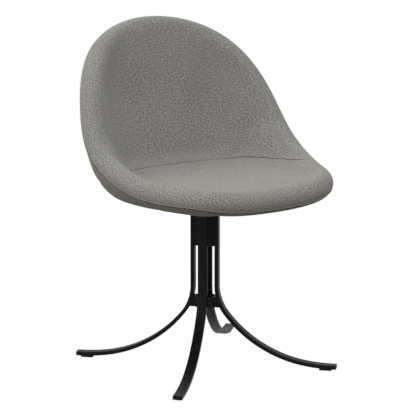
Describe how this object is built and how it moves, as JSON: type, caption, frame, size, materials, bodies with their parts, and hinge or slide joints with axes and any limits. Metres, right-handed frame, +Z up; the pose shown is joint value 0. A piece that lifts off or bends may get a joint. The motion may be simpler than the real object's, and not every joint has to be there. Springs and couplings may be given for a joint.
{
  "type": "swivel dining chair",
  "caption": "Upholstered bucket chair that swivels on a slim central column of bent flat bars, with wide-spread feet and floor glides.",
  "frame": {"origin": "on the swivel axis at floor level", "axes": "+Z up, the sitter faces -Y, +X to the right of someone facing the chair"},
  "size_m": [0.5456, 0.5436, 0.7878],
  "materials": {
    "powder_coat": "matt black powder coat",
    "glide_plastic": "black moulded plastic",
    "bearing_plastic": "natural nylon",
    "steel": "zinc plated steel",
    "shell_plastic": "black moulded shell",
    "seat_fabric": "woven warm grey melange upholstery"
  },
  "bodies": {
    "base": {"leg_front_left": "powder_coat", "leg_front_right": "powder_coat", "leg_rear_left": "powder_coat", "leg_rear_right": "powder_coat", "column_tube": "powder_coat", "lower_ring": "powder_coat", "upper_spacers": "powder_coat", "lower_spacers": "powder_coat", "glide_front_left": "glide_plastic", "glide_front_right": "glide_plastic", "glide_rear_left": "glide_plastic", "glide_rear_right": "glide_plastic", "tube_plug": "glide_plastic", "lower_bush": "bearing_plastic", "upper_bush": "bearing_plastic", "glide_screws": "steel", "thrust_washer": "steel"},
    "seat": {"spindle": "steel", "retaining_washer": "steel", "retaining_ring": "steel", "plate_boss": "powder_coat", "seat_plate": "powder_coat", "plate_bolts": "steel", "bolt_washers": "steel", "tee_nuts": "steel", "seat_shell": "shell_plastic", "seat_cushion": "seat_fabric", "back_cushion": "seat_fabric", "rear_cover": "seat_fabric"}
  },
  "joints": [
    {"name": "seat_swivel", "type": "hinge", "parent": "base", "child": "seat", "pos_m": [0, 0, 0.38], "axis": [0, 0, 1], "continuous": true}
  ]
}
